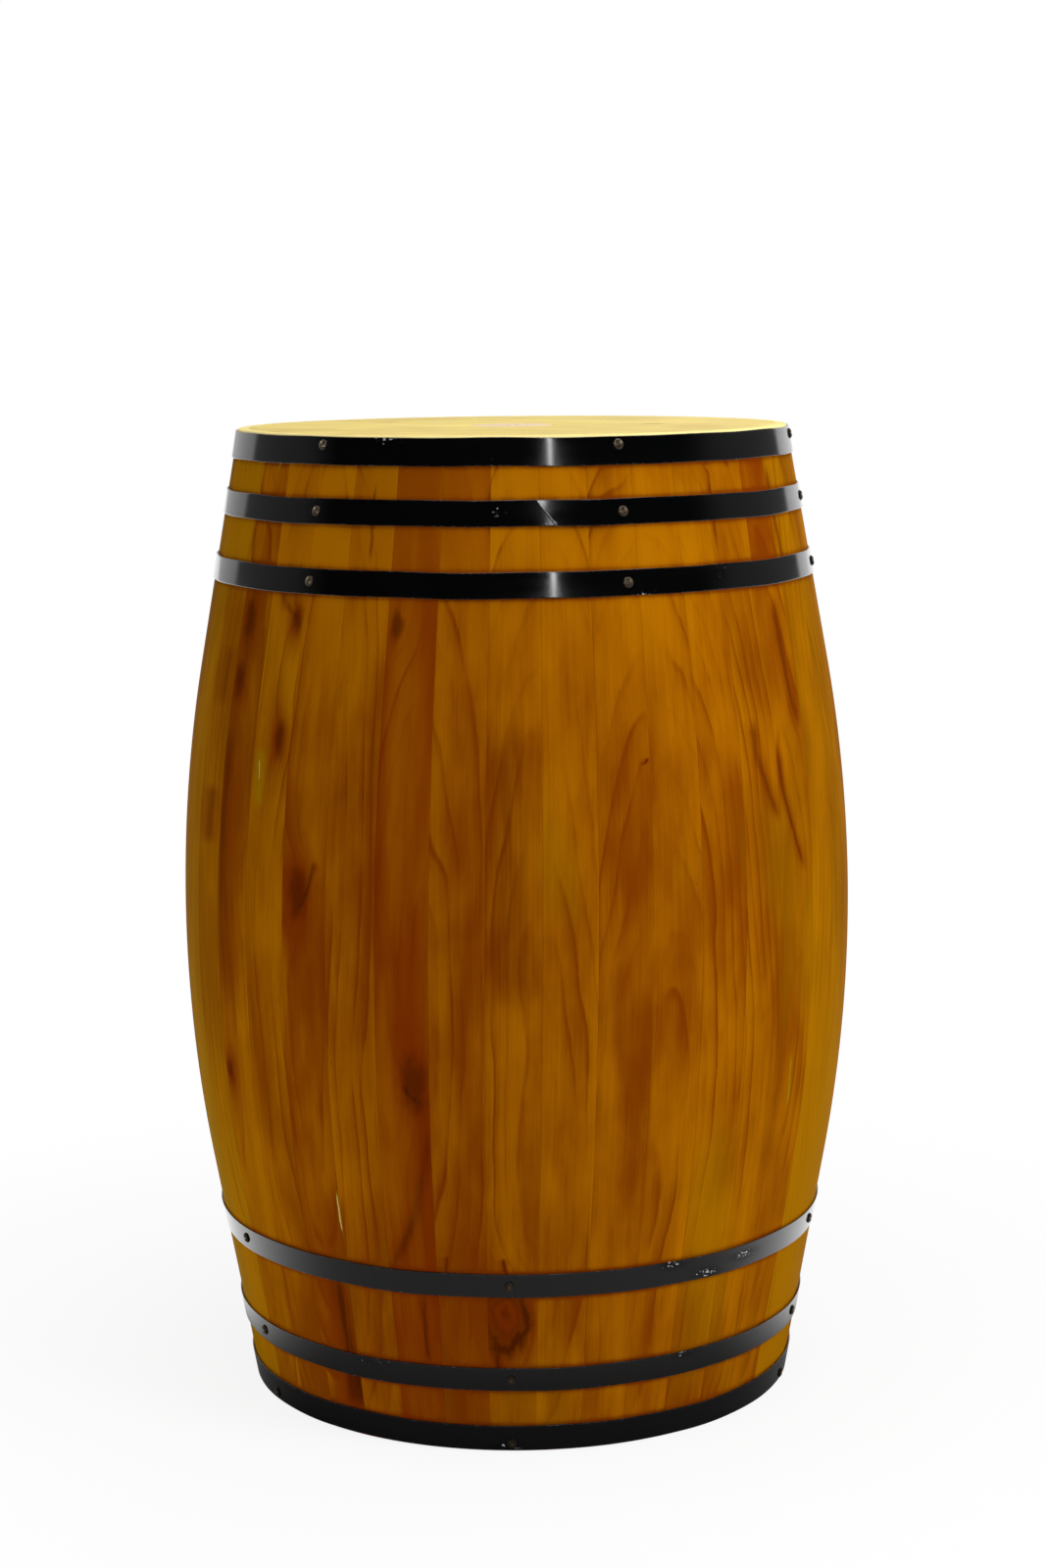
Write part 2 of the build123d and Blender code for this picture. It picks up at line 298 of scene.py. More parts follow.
# Staves in view, by number. Below zero, redness is olive. A pith is its place across the stave, its depth
# under the face at half height and its slope. A knot is its place across the stave, its height and its half
# width. A streak is its place across, height and half width where it starts, then its place across and height
# where it ends, and its strength, which is below zero for a pale one. A head is darkness and redness.
STAVES_IN_VIEW = {
    29: Stave(0.30, 0.60, -0.2, (0.020, 0.022, -0.02), ((0.006, 0.560, 0.006),)),
    30: Stave(0.18, 0.70, -0.45, (0.045, 0.030, 0.02)),
    31: Stave(0.10, 0.75, -0.7, (-0.040, 0.026, 0.02), head=(0.30, -0.6)),
    32: Stave(0.05, 0.75, -0.9, (0.030, 0.030, 0.03), head=(0.20, -0.7)),
    33: Stave(0.00, 0.64, -0.9, (-0.050, 0.030, 0.03), head=(-0.05, -0.55)),
    34: Stave(0.10, 0.88, -0.6, (0.040, 0.024, -0.02), (),
              ((0.006, 0.715, 0.0070, 0.004, 0.655, 0.30), (0.002, 0.590, 0.0080, -0.002, 0.530, 0.36),
               (0.022, 0.868, 0.0016, 0.023, 0.780, 0.60)), head=(0.0, -0.5)),
    35: Stave(0.40, 0.72, -0.3, (-0.020, 0.020, 0.02),
              ((-0.013, 0.683, 0.009), (-0.008, 0.738, 0.010), (-0.015, 0.330, 0.006)),
              ((-0.018, 0.675, 0.010, -0.016, 0.380, 0.55), (-0.006, 0.790, 0.008, -0.012, 0.660, 0.30),
               (0.010, 0.906, 0.0010, 0.005, 0.866, -0.50)), head=(0.66, 0.0)),
    36: Stave(0.85, 0.10, -0.2, (0.060, 0.030, 0.02), ((0.010, 0.640, 0.007), (0.015, 0.742, 0.006)),
              ((-0.006, 0.766, 0.004, 0.016, 0.742, 0.40), (-0.013, 0.632, 0.0075, -0.011, 0.572, -0.11),
               (-0.015, 0.620, 0.0012, -0.014, 0.598, -0.45)), head=(0.0, 0.2)),
    37: Stave(0.66, 0.38, 0.1, (0.004, 0.018, -0.035), ((-0.006, 0.508, 0.011), (0.013, 0.050, 0.011)),
              ((0.010, 0.168, 0.0070, 0.018, 0.030, 0.80), (0.0225, 0.242, 0.0008, 0.0225, 0.182, -0.75),
               (0.012, 0.540, 0.0020, -0.008, 0.488, 0.70)), head=(0.0, 0.0)),
    38: Stave(0.44, 0.48, 0.1, (-0.055, 0.040, 0.01), (), ((0.000, 0.862, 0.0012, 0.001, 0.790, 0.55),),
              head=(0.06, 0.3)),
    39: Stave(0.58, 0.04, 0.9, (0.030, 0.030, 0.05), ((0.011, 0.350, 0.0135), (-0.014, 0.742, 0.006)),
              ((0.021, 0.315, 0.0052, -0.025, 0.160, 0.58), (0.003, 0.347, 0.0026, 0.017, 0.328, 0.85),
               (0.007, 0.155, 0.0022, 0.010, 0.078, 0.62)), head=(0.04, 0.75)),
    40: Stave(0.66, 0.38, 0.2, (-0.034, 0.030, 0.02), (),
              ((-0.012, 0.190, 0.0012, -0.016, 0.170, 0.60), (0.021, 0.868, 0.0014, 0.023, 0.780, 0.60)),
              head=(0.22, 0.6)),
    1: Stave(0.42, 0.34, 0.05, (0.023, 0.045, 0.06), ((-0.006, 0.134, 0.021),),
             ((-0.016, 0.108, 0.0040, -0.008, 0.070, 0.75), (-0.009, 0.190, 0.0014, -0.001, 0.164, 0.75),
              (-0.004, 0.680, 0.0180, 0.002, 0.400, 0.32)), head=(0.24, 0.0)),
    2: Stave(0.30, 0.42, 0.0, (-0.026, 0.045, 0.06), head=(0.38, 0.0)),
    3: Stave(0.44, 0.56, 0.0, (0.032, 0.050, 0.090), (), ((0.022, 0.627, 0.0010, 0.015, 0.621, 0.85),),
             head=(0.44, 0.0)),
    4: Stave(0.42, 0.46, 0.0, (-0.017, 0.050, 0.090), head=(0.42, 0.0)),
    5: Stave(0.36, 0.52, 0.0, (-0.066, 0.050, 0.090), (),
             ((0.010, 0.908, 0.0014, 0.019, 0.868, 0.60), (0.020, 0.865, 0.0014, 0.024, 0.785, 0.60)),
             head=(0.46, -0.1)),
    6: Stave(0.40, 0.42, -0.1, (-0.115, 0.050, 0.090), (),
             ((-0.006, 0.655, 0.0030, 0.024, 0.555, 0.50), (-0.006, 0.905, 0.0014, 0.004, 0.866, 0.55)),
             head=(0.42, -0.05)),
    7: Stave(0.40, 0.38, -0.1, (-0.012, 0.018, 0.03), (),
             ((-0.022, 0.630, 0.0024, 0.014, 0.505, 0.65), (0.002, 0.760, 0.0036, 0.018, 0.630, 0.55),
              (-0.004, 0.345, 0.0014, -0.001, 0.295, -0.25)), head=(0.72, 0.28)),
    8: Stave(0.00, 0.66, -0.5, (0.050, 0.030, 0.02), (), ((-0.016, 0.870, 0.0014, -0.010, 0.770, 0.60),),
             head=(0.42, -0.4)),
    9: Stave(0.00, 0.56, -0.6, (-0.030, 0.024, 0.03), head=(0.62, -0.5)),
    10: Stave(0.10, 0.44, -0.5, (0.040, 0.028, 0.02)),
    11: Stave(0.24, 0.44, -0.35, (-0.045, 0.024, -0.03)),
    12: Stave(0.28, 0.52, -0.2, (0.015, 0.020, 0.02), ((-0.008, 0.290, 0.007),)),
}
KNOT_SLOTS = 3
STREAK_SLOTS = 3
# Shares of the height over which the staves' darkness changes: painted shade about the belly, a painted
# shadow at the foot, and the stave's own tone near the top
BELLY_SHARE = 0.55
BELLY_BAND = (0.10, 0.36)  # away from the belly
# Painted shade: the wood is darker about the belly, where less light falls
BELLY_PAINTED_SHADE = 0.16
FOOT_BAND = (0.05, 0.24)
# Painted shadow: the wood darkens towards the floor
FOOT_PAINTED_SHADOW = 0.24
HEAD_BAND = (0.82, 0.90)
# Pooled varnish stain and painted contact shadow beside the hoops, stain at the foot, and bare wood at the
# top end
STAIN_AND_SHADOW_ROWS = np.array([-0.006, -0.0035, -0.0015, 0.0015, 0.0035, 0.006])  # from a hoop's edge
STAIN_AND_SHADOW_ROOM = 0.001  # least room between those rows and the even ones
STAIN_AND_SHADOW_REACH = 0.0026
STAIN_AND_SHADOW_DARKER = 0.55
STAINED_END, STAINED_ROWS = 1.2, 3
BARE_END, BARE_ROWS = -2.0, 4  # a darkness that marks wood cut bare
STAVE_LEVELS = 56
STAVE_SETBACK = 0.00012  # most that a stave's face is set back
LEDGE_PARTING = 0.0008  # height that parts the face's points where the head's ledge has two rows
TONE_STEP = 7.3  # between the seeds of neighbouring staves' noise


def unseen_stave(chance):
    """A stave drawn by chance, for the sides and back."""
    knots = tuple((chance.uniform(-0.014, 0.014), chance.uniform(0.08, 0.82), chance.uniform(0.004, 0.011))
                  for _ in range(chance.integers(0, 3)))
    pith = (chance.uniform(-0.05, 0.05), chance.uniform(0.014, 0.035), chance.uniform(-0.035, 0.035))
    return Stave(chance.uniform(0.2, 0.65), chance.uniform(0.3, 0.75), chance.uniform(-0.5, 0.5), pith, knots)


def wood_values(grain, tone, pith, knots=(), streaks=()):
    """Attributes that the sawn wood reads: where a point lay in its plank, and what the plank was like."""
    values = {"grain": grain, "pith": pith, "tone": tone}
    for i, knot in enumerate(knots):
        values[f"knot_{i + 1}"] = knot
    for i, streak in enumerate(streaks):
        values[f"streak_{i + 1}_start"] = streak[:3]
        values[f"streak_{i + 1}_end"] = streak[3:]
    return values


def stave_section(sizes):
    """Section of a stave as a closed loop: for each point its share across, how far it is drawn in from the
    side, its share of the wall's depth, and how far it is sunk below the face."""
    corner_in = sizes.stave_arris * ROUND_UP
    corner_down = sizes.stave_arris * ROUND_DOWN
    face = np.array([-0.92, -0.7, -0.4, 0, 0.4, 0.7, 0.92])
    back = np.array([1, 0.5, 0, -0.5, -1])
    nil, ends = np.zeros(len(face)), np.zeros(len(back))
    share = np.concatenate([-np.ones(4), face, np.ones(4), back])
    inset = np.concatenate([corner_in, nil, corner_in[::-1], ends])
    sunk = np.concatenate([corner_down, nil, corner_down[::-1], ends])
    deep = np.concatenate([np.zeros(8 + len(face)), np.ones(len(back))])
    return share, inset, deep, sunk


def stave_rows(sizes):
    """Heights up a stave, how far its face is drawn in there, the thickness of its wall, and how much higher
    the face's own points lie: a quarter round at each rim, a thin wall beside the head, a double row at the
    ledge that parts on the face, and the full wall between, with close rows beside the hoops."""
    rim_z = sizes.rim_arris * ROUND_UP
    rim_in = sizes.rim_arris * ROUND_DOWN
    seat = np.linspace(sizes.rim_arris, sizes.head_thickness, 4)[1:]
    end = np.concatenate([rim_z, seat])
    ledges = np.array([sizes.head_thickness, sizes.height - sizes.head_thickness])
    even = np.linspace(*ledges, STAVE_LEVELS)
    even = even[np.abs(even[:, None] - HOOP_EDGES).min(axis=1) > STAIN_AND_SHADOW_ROWS[-1] + STAIN_AND_SHADOW_ROOM]
    beside = (HOOP_EDGES[:, None] + STAIN_AND_SHADOW_ROWS).ravel()
    beside = beside[(beside > ledges[0]) & (beside < ledges[1])]
    body = np.unique(np.concatenate([ledges, even, beside]))
    z = np.concatenate([end, body, sizes.height - end[::-1]])
    drawn = np.concatenate([rim_in, np.zeros(len(seat) * 2 + len(body)), rim_in[::-1]])
    thin = outer_radius(sizes, z) - sizes.head_radius - sizes.head_clearance
    row = np.arange(len(z))
    in_body = (row >= len(end)) & (row < len(end) + len(body))
    parted = LEDGE_PARTING * ((row == len(end) + len(body)) * 1.0 - (row == len(end) - 1))
    return z, drawn, np.where(in_body, sizes.stave_thickness, thin), parted


def stave_surface(sizes, number, lift):
    """One stave: its section carried up the bowed face. The angle is the stave's own plus the share across
    half a pitch, turned with height by the lean. The radius is the cask's less the depth. Also gives each
    point's place in the plank: metres across, metres up and metres below the face."""
    share, inset, deep, sunk = stave_section(sizes)
    z, drawn, wall, parted = (column[:, None] for column in stave_rows(sizes))
    z = z + parted * (1 - deep)
    face = outer_radius(sizes, z)
    half = math.pi / sizes.stave_count
    depth = (drawn + sunk - lift) * (1 - deep) + wall * deep
    middle = sizes.first_stave + 2 * half * (number - 1) + sizes.stave_lean * (z / sizes.height - 0.5)
    off = share * half - np.sign(share) * inset / face
    return around(face - depth, middle + off, z), vectors(off * face, z, depth)


def stave_tone(stave, z, height, seed):
    """Darkness, redness and noise seed over a stave: the darkness runs evenly from foot to top, with painted
    shade added at the belly, a painted shadow at the foot, and stain with a painted contact shadow beside the
    hoops, and turns to the stave's own tone between the upper hoops."""
    rise = z / height
    dark = stave.foot + (stave.top - stave.foot) * rise
    # painted shade about the belly
    dark += BELLY_PAINTED_SHADE * (1 - smooth(*BELLY_BAND, np.abs(rise - BELLY_SHARE)))
    # painted shadow towards the floor
    dark += FOOT_PAINTED_SHADOW * (1 - smooth(*FOOT_BAND, rise))
    head = smooth(*HEAD_BAND, rise)
    dark += head * (stave.head[0] - dark)
    red = stave.red + head * (stave.head[1] - stave.red)
    beside = np.abs(z[..., None] - HOOP_EDGES).min(axis=-1)
    # stain and painted contact shadow beside each hoop's edges
    dark += STAIN_AND_SHADOW_DARKER * np.exp(-(beside / STAIN_AND_SHADOW_REACH)**2)
    dark[:STAINED_ROWS] = STAINED_END
    dark[-BARE_ROWS:] = BARE_END
    return vectors(dark, red, seed)


class CASK_OT_staves(bpy.types.Operator):
    """Makes the staves, each a bowed plank with its own grain and tone"""
    bl_idname = "cask.staves"
    bl_label = "Staves"

    def execute(self, context):
        sizes = context.scene.cask_sizes
        colours = context.scene.cask_colours
        shades = (colours.honey, colours.amber, colours.russet, colours.olive, colours.knot,
                  colours.stave_end)
        material = wood_material("Varnished stave wood", shades, gloss=0.0004)
        chance = np.random.default_rng(STAVE_SEED)
        for number in range(1, sizes.stave_count + 1):
            drawn = unseen_stave(chance)
            stave = STAVES_IN_VIEW.get(number, drawn)
            lift = -chance.uniform(0, STAVE_SETBACK)
            points, grain = stave_surface(sizes, number, lift)
            tone = stave_tone(stave, points[..., 2], sizes.height, TONE_STEP * number)
            values = wood_values(grain, tone, stave.pith, stave.knots, stave.streaks)
            make_piece(f"stave_{number:02d}", points, material, values)
        return {"FINISHED"}


# Hoops

LAP_STEPS, JOGGLE_STEPS, HOOP_STEPS = 12, 10, 360
TAIL_SHARE = 0.8  # share of the lap that the strap's end runs on under it
EDGE_WAVES = (3, 7, 11, 17)
FACE_WAVES = (5, 9, 14)
SCUFF_SPREAD = 0.45  # across a strap
# Scuffs on each hoop: angle and reach in degrees, strength, and place across from -1 to 1
SCUFFS = {
    "upper_head_hoop": ((-25.0, 3.6, 1.0, 1.0), (45.0, 5.0, 0.3, -1.0)),
    "upper_quarter_hoop": ((-3.0, 2.0, 0.8, 0.1), (7.0, 2.0, 0.8, -0.8)),
    "upper_bilge_hoop": ((40.0, 2.0, 0.7, 0.3), (24.0, 3.0, 0.8, -1.0)),
    "lower_bilge_hoop": ((28.0, 3.0, 0.9, 0.8), (36.0, 3.0, 1.0, -0.6), (45.0, 4.0, 1.0, 0.1)),
    "lower_quarter_hoop": ((33.0, 3.0, 0.8, 0.9), (-30.0, 5.0, 0.4, 0.6)),
    "lower_head_hoop": ((-3.0, 4.0, 0.7, -0.8),),
}


def strap_section(sizes, width):
    """Section of a strap as a closed loop with rounded corners: share across the width, from the top down
    the outer face and back up the inner one, and share of the thickness, from the inner face out."""
    round_in = ROUND_DOWN * 2 * sizes.arris / width
    round_off = ROUND_UP * sizes.arris / sizes.thickness
    face = np.array([0.9, 0.6, 0.2, -0.2, -0.6, -0.9])
    upper_share, lower_share = 1 - round_in, -1 + round_in
    across = np.concatenate([upper_share[::-1], face, lower_share, lower_share[::-1], -face, upper_share])
    outer = np.concatenate([1 - round_off[::-1], np.ones(len(face)), 1 - round_off])
    return across, np.concatenate([outer, 1 - outer])


def waves(turn, chance, turns):
    """A smooth uneven wave round the cask between -1 and 1: whole-number sines with chance phases."""
    phases = chance.uniform(0, 2 * math.pi, len(turns))
    return np.mean([np.sin(n * turn + phase) for n, phase in zip(turns, phases)], axis=0)


def strap_surface(cask, sizes, low, high, lap_turn, scuffs, chance):
    """A hoop: the strap's section carried once round the staves and on under its own start. The start lies
    one thickness out and steps down past the lap. Its end is cut on a slant, and its tip stands off as the
    square of the share of the lap still to come. Also gives each point's place on the strap: metres along,
    share across, and how scuffed it is."""
    across, out = strap_section(sizes, high - low)
    middle = outer_radius(cask, (low + high) / 2)
    lap, slant, joggle = (size / middle for size in (sizes.lap, sizes.lap_slant, sizes.joggle))
    path = np.concatenate([np.linspace(0, lap, LAP_STEPS)[:-1],
                           np.linspace(lap, lap + joggle, JOGGLE_STEPS)[:-1],
                           np.linspace(lap + joggle, 2 * math.pi + lap * TAIL_SHARE, HOOP_STEPS)])[:, None]
    lift = 1 - smooth(lap, lap + joggle, path)
    turn = lap_turn + path - across * slant / 2 * (1 - smooth(0, lap, path))
    edge = sizes.flutter * waves(turn, chance, EDGE_WAVES)
    z = (low + high) / 2 + across * (high - low) / 2 + edge * np.abs(across)
    ripple = sizes.ripple * (1 + waves(turn, chance, FACE_WAVES)) / 2
    layers = (lift + out) * sizes.thickness + lift * sizes.clearance
    layers = layers + sizes.lap_spring * np.maximum(1 - path / lap, 0)**2
    points = around(outer_radius(cask, z) + sizes.clearance + ripple + layers, turn, z)
    worn = np.zeros_like(turn)
    for place, reach, strength, level in scuffs:
        off = np.angle(np.exp(1j * (turn - math.radians(place)))) / math.radians(reach)
        worn = np.maximum(worn, strength * np.exp(-off**2 - ((across - level) / SCUFF_SPREAD)**2))
    return points, vectors(path * middle, across, worn)


class CASK_OT_hoops(bpy.types.Operator):
    """Makes the six strap hoops, each lapped over its own end"""
    bl_idname = "cask.hoops"
    bl_label = "Hoops"

    def execute(self, context):
        scene = context.scene
        material = hoop_material(scene.cask_colours)
        chance = np.random.default_rng(HOOP_SEED)
        for name in HOOPS:
            low, high = (corner.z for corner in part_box(name))
            lap_turn = math.radians(FRONT_LAP_ANGLE if name == "upper_quarter_hoop" else BACK_LAP_ANGLE)
            points, strap = strap_surface(scene.cask_sizes, scene.cask_straps, low, high, lap_turn,
                                          SCUFFS[name], chance)
            make_piece(name, points, material, {"strap": strap})
        return {"FINISHED"}


# Nails

PETALS = 12
PETAL_RELIEF = 0.16  # share of a nail head's height
PETAL_BAND = (0.22, 0.4, 0.8, 0.95)  # shares of a head's radius where the petals rise and fall away
NAIL_COLUMNS = 48
DOME_TURNS = np.radians(np.linspace(8, 86, 12))
DOME_FOOT = 0.12  # share of a head's height under its dome
BRIM_RADIUS, BRIM_HEIGHT = 0.9, 0.1  # shares of a head's radius underneath, and of its height at its edge
TIP_WIDTH, TIP_START = 0.1, 0.82  # shares of a shank's width at its tip, and of its length where it narrows


def nail_profile(sizes):
    """Profile of a nail from its point up: radius, height, and the share of the petals' relief there."""
    dome_radius = sizes.nail_radius * np.cos(DOME_TURNS)
    dome_height = sizes.nail_height * (DOME_FOOT + (1 - DOME_FOOT) * np.sin(DOME_TURNS))
    head, shank = sizes.nail_radius, sizes.nail_shank
    radius = np.concatenate([[shank * TIP_WIDTH, shank, shank, head * BRIM_RADIUS, head], dome_radius])
    height = np.concatenate([[-sizes.nail_length, -sizes.nail_length * TIP_START, 0, 0,
                              sizes.nail_height * BRIM_HEIGHT], dome_height])
    share = dome_radius / head
    band = smooth(*PETAL_BAND[:2], share) * (1 - smooth(*PETAL_BAND[2:], share))
    return radius, height, np.concatenate([np.zeros(5), band])


def nail_surface(cask, sizes, rows, chance):
    """All the nails of one end: a profile turned about each nail's axis, square to the strap, with petals as
    a cosine of the turn. Also gives each point's height share, its relief, and the nail's own tone."""
    radius, height, band = (column[:, None] for column in nail_profile(sizes))
    turn = np.linspace(0, 2 * math.pi, NAIL_COLUMNS, endpoint=False)
    petal = band * np.cos(PETALS * turn)
    rise = height + petal * sizes.nail_height * PETAL_RELIEF
    points, values = [], []
    for low, high, z, angles in rows:
        slope = float((outer_radius(cask, high) - outer_radius(cask, low)) / (high - low))
        seat = float(outer_radius(cask, z)) + sizes.clearance + sizes.thickness
        place = np.radians(np.array(angles))[:, None, None]
        out = around(1.0, place, -slope) / math.hypot(1, slope)
        side = vectors(np.cos(place), np.sin(place), 0.0)
        up = np.cross(out, side)
        spin = turn + chance.uniform(0, 2 * math.pi, place.shape)
        wide = (radius * np.cos(spin))[..., None] * side + (radius * np.sin(spin))[..., None] * up
        points.append(around(seat, place, z) + wide + rise[..., None] * out)
        own = chance.uniform(0, 1, place.shape)
        values.append(vectors(rise / sizes.nail_height, petal, own))
    return np.concatenate(points), np.concatenate(values)


class CASK_OT_nails(bpy.types.Operator):
    """Makes the rose-head nails of the upper and lower hoops"""
    bl_idname = "cask.nails"
    bl_label = "Nails"

    def execute(self, context):
        scene = context.scene
        cask, straps = scene.cask_sizes, scene.cask_straps
        material = nail_material(scene.cask_colours)
        chance = np.random.default_rng(NAIL_SEED)
        ends = (("upper_hoop_nails", HOOPS[:3], UPPER_NAIL_ANGLES, cask.height - straps.rim_nail_setback),
                ("lower_hoop_nails", HOOPS[3:], LOWER_NAIL_ANGLES, straps.rim_nail_setback))
        for name, hoops, angles, rim_height in ends:
            rows = []
            for hoop in hoops:
                low, high = (corner.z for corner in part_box(hoop))
                rows.append((low, high, rim_height if "head" in hoop else (low + high) / 2, angles))
            points, rose = nail_surface(cask, straps, rows, chance)
            make_piece(name, points, material, {"rose": rose})
        return {"FINISHED"}


# Heads and bung

RIM_STEP = 4.0  # degrees between the points of a board's outline
BUNG_COLUMNS = 96
ARRIS_MIDDLE = 0.3  # share of an arris that its middle is set in
FACE_INSET = 8  # arrises from a board's edge to the innermost row of its faces
BUNG_INSET = 6  # the same for the bung's ends
HEAD_PALENESS = 0.8  # share of a drawn plank's darkness that a head board takes
SEED_REACH = 90  # of the head boards' noise
BUNG_TONE = (0.3, 0.0, 5.0)
BUNG_PITH = (0.03, 0.02, 0.05)
BUNG_ALONG = 0.4  # place of the bung along its plank


def board_outline(radius, middle, half, turn):
    """Outline of a head board about its own middle: at each angle, the nearer of the round rim and the
    board's straight edges."""
    x, y = np.cos(turn), np.sin(turn)
    to_rim = -middle * y + np.sqrt((middle * y)**2 + radius**2 - middle**2)
    to_edge = half / np.maximum(np.abs(y), 1e-6)
    reach = np.minimum(to_rim, to_edge)
    return np.stack([reach * x, middle + reach * y], axis=-1)


def board_turns(radius, middle, half):
    """Angles of an outline's points: even steps, with one on each corner where an edge meets the rim."""
    edges = np.array([-half, half])
    across = np.sqrt(np.maximum(radius**2 - (middle + edges)**2, 0))
    corners = np.concatenate([np.arctan2(edges, across), np.arctan2(edges, -across)])
    even = np.radians(np.arange(-180, 180, RIM_STEP))
    return np.unique(np.round(np.concatenate([even, corners]), 5))


def bung_reach(sizes, z, clearance=0.0):
    """Radius of the bung at a height, or with a clearance of its hole."""
    return sizes.bung_radius + clearance + (z - sizes.height) * math.tan(sizes.bung_taper)


def board_surface(sizes, number, low, hole):
    """A head board: its outline carried from the middle of its underside out to the edge, up and back to the
    middle of its face, drawn in at the arrises. A board with the bung's hole is a closed ring that goes down
    the hole's tapered wall instead. Also gives each point's place in the plank."""
    half = sizes.head_radius / sizes.head_boards
    middle = 2 * half * (number - 0.5) - sizes.head_radius
    high, arris = low + sizes.head_thickness, sizes.board_arris
    turn = board_turns(sizes.head_radius, middle, half)
    eased = arris * ARRIS_MIDDLE
    rows = [(FACE_INSET * arris, low), (arris, low), (eased, low + eased), (0, low + arris),
            (0, high - arris), (eased, high - eased), (arris, high), (FACE_INSET * arris, high)]
    points = [np.insert(board_outline(sizes.head_radius - inset, middle, half - inset, turn), 2, z, axis=1)
              for inset, z in rows]
    if hole:
        wall = [(high, arris), (high - eased, eased), (high - arris, 0), (low, 0)]
        spread = np.stack([np.cos(turn), np.sin(turn)], axis=-1)
        points += [np.insert((bung_reach(sizes, z, sizes.bung_clearance) + wider) * spread, 2, z, axis=1)
                   for z, wider in wall]
    points = np.array(points)
    return points, points[..., [1, 0, 2]] * (1, 1, -1) + (-middle, PLANK_MIDDLE, high)


class CASK_OT_heads(bpy.types.Operator):
    """Makes the boards of both heads"""
    bl_idname = "cask.heads"
    bl_label = "Heads"

    def execute(self, context):
        sizes = context.scene.cask_sizes
        colours = context.scene.cask_colours
        shades = plain_shades(colours.head_pale, colours.head_deep, colours.knot)
        material = wood_material("Varnished head wood", shades, gloss=0.11)
        chance = np.random.default_rng(HEAD_SEED)
        for end, low in (("top", sizes.height - sizes.head_thickness), ("bottom", 0.0)):
            for number in range(1, sizes.head_boards + 1):
                hole = end == "top" and number == (sizes.head_boards + 1) // 2
                points, grain = board_surface(sizes, number, low, hole)
                plank = unseen_stave(chance)
                tone = (plank.foot * HEAD_PALENESS, 0.0, chance.uniform(0, SEED_REACH))
                values = wood_values(grain, tone, plank.pith, plank.knots[:1])
                make_piece(f"{end}_head_board_{number}", points, material, values, ring=hole)
        return {"FINISHED"}


def bung_surface(sizes):
    """The bung: a tapered profile with rounded ends, turned about the cask's axis. Also gives each point's
    place in the plank that it was turned from."""
    foot, top, arris = sizes.height - sizes.bung_length, sizes.height, sizes.bung_arris
    turn = np.linspace(0, 2 * math.pi, BUNG_COLUMNS, endpoint=False)
    z = np.concatenate([[foot], foot + arris * ROUND_UP, top - arris * ROUND_UP[::-1], [top]])[:, None]
    inset = arris * np.concatenate([[BUNG_INSET], ROUND_DOWN, ROUND_DOWN[::-1], [BUNG_INSET]])[:, None]
    points = around(bung_reach(sizes, z) - inset, turn, z)
    return points, points * (1, 1, -1) + (0, BUNG_ALONG, top)


class CASK_OT_bung(bpy.types.Operator):
    """Makes the tapered bung in the top head"""
    bl_idname = "cask.bung"
    bl_label = "Bung"

    def execute(self, context):
        sizes = context.scene.cask_sizes
        colours = context.scene.cask_colours
        shades = plain_shades(colours.bung_pale, colours.bung_deep, colours.knot)
        material = wood_material("Pale bung wood", shades, gloss=0.11)
        points, grain = bung_surface(sizes)
        values = wood_values(grain, BUNG_TONE, BUNG_PITH)
        make_piece("bung", points, material, values, body="bung")
        return {"FINISHED"}


class CASK_OT_tongues(bpy.types.Operator):
    """Gives the loose tongues inside the heads their wood"""
    bl_idname = "cask.tongues"
    bl_label = "Tongues"

    def execute(self, context):
        colours = context.scene.cask_colours
        shades = plain_shades(colours.bung_pale, colours.bung_deep, colours.knot)
        material = wood_material("Plain tongue wood", shades, gloss=0.05, on_object=True)
        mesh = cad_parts["head_tongues"].data
        mesh.materials.clear()
        mesh.materials.append(material)
        return {"FINISHED"}


# Materials

KNOT_KEYS = [f"Knot {i + 1}" for i in range(KNOT_SLOTS)]
STREAK_KEYS = [f"Streak {i + 1}" for i in range(STREAK_SLOTS)]
PLANK_KEYS = ["Grain", "Pith", "Tone", *KNOT_KEYS]
PLANK_KEYS += [f"{key} {end}" for key in STREAK_KEYS for end in ("Start", "End")]
SHADE_KEYS = ("Pale", "Deep", "Red", "Olive", "Dark", "Bare")
WHITE = (1, 1, 1, 1)
TINY = 0.00002  # least half width of a knot or streak to divide by
NEAR = 0.001  # least distance to divide by


class Term:
    """An output of a node. Arithmetic on it adds Math nodes to its tree."""

    def __init__(self, socket):
        self.socket = socket
        self.tree = socket.id_data

    def __add__(self, other):
        return calc("ADD", self, other)

    def __sub__(self, other):
        return calc("SUBTRACT", self, other)

    def __mul__(self, other):
        return calc("MULTIPLY", self, other)

    def __truediv__(self, other):
        return calc("DIVIDE", self, other)

    def __neg__(self):
        return calc("MULTIPLY", self, -1.0)

    def __abs__(self):
        return calc("ABSOLUTE", self)


def feed(node, inputs):
    """Links terms to a node's inputs, and sets inputs to plain values."""
    for key, value in inputs.items():
        if isinstance(value, Term):
            value.tree.links.new(value.socket, node.inputs[key])
        else:
            node.inputs[key].default_value = value


def add(tree, kind, inputs=None, **settings):
    """A new node with its settings and inputs."""
    node = tree.nodes.new(kind)
    for key, value in settings.items():
        setattr(node, key, value)
    feed(node, inputs or {})
    return node


def outputs(node):
    """A node's outputs by name."""
    return {socket.name: Term(socket) for socket in node.outputs}


def step(kind, key, inputs, **settings):
    """One output of a new node, in the tree of the terms among its inputs."""
    tree = next(value.tree for value in inputs.values() if isinstance(value, Term))
    return Term(add(tree, kind, inputs, **settings).outputs[key])


def calc(operation, *values):
    """Result of a Math node."""
    return step("ShaderNodeMath", 0, dict(enumerate(values)), operation=operation)


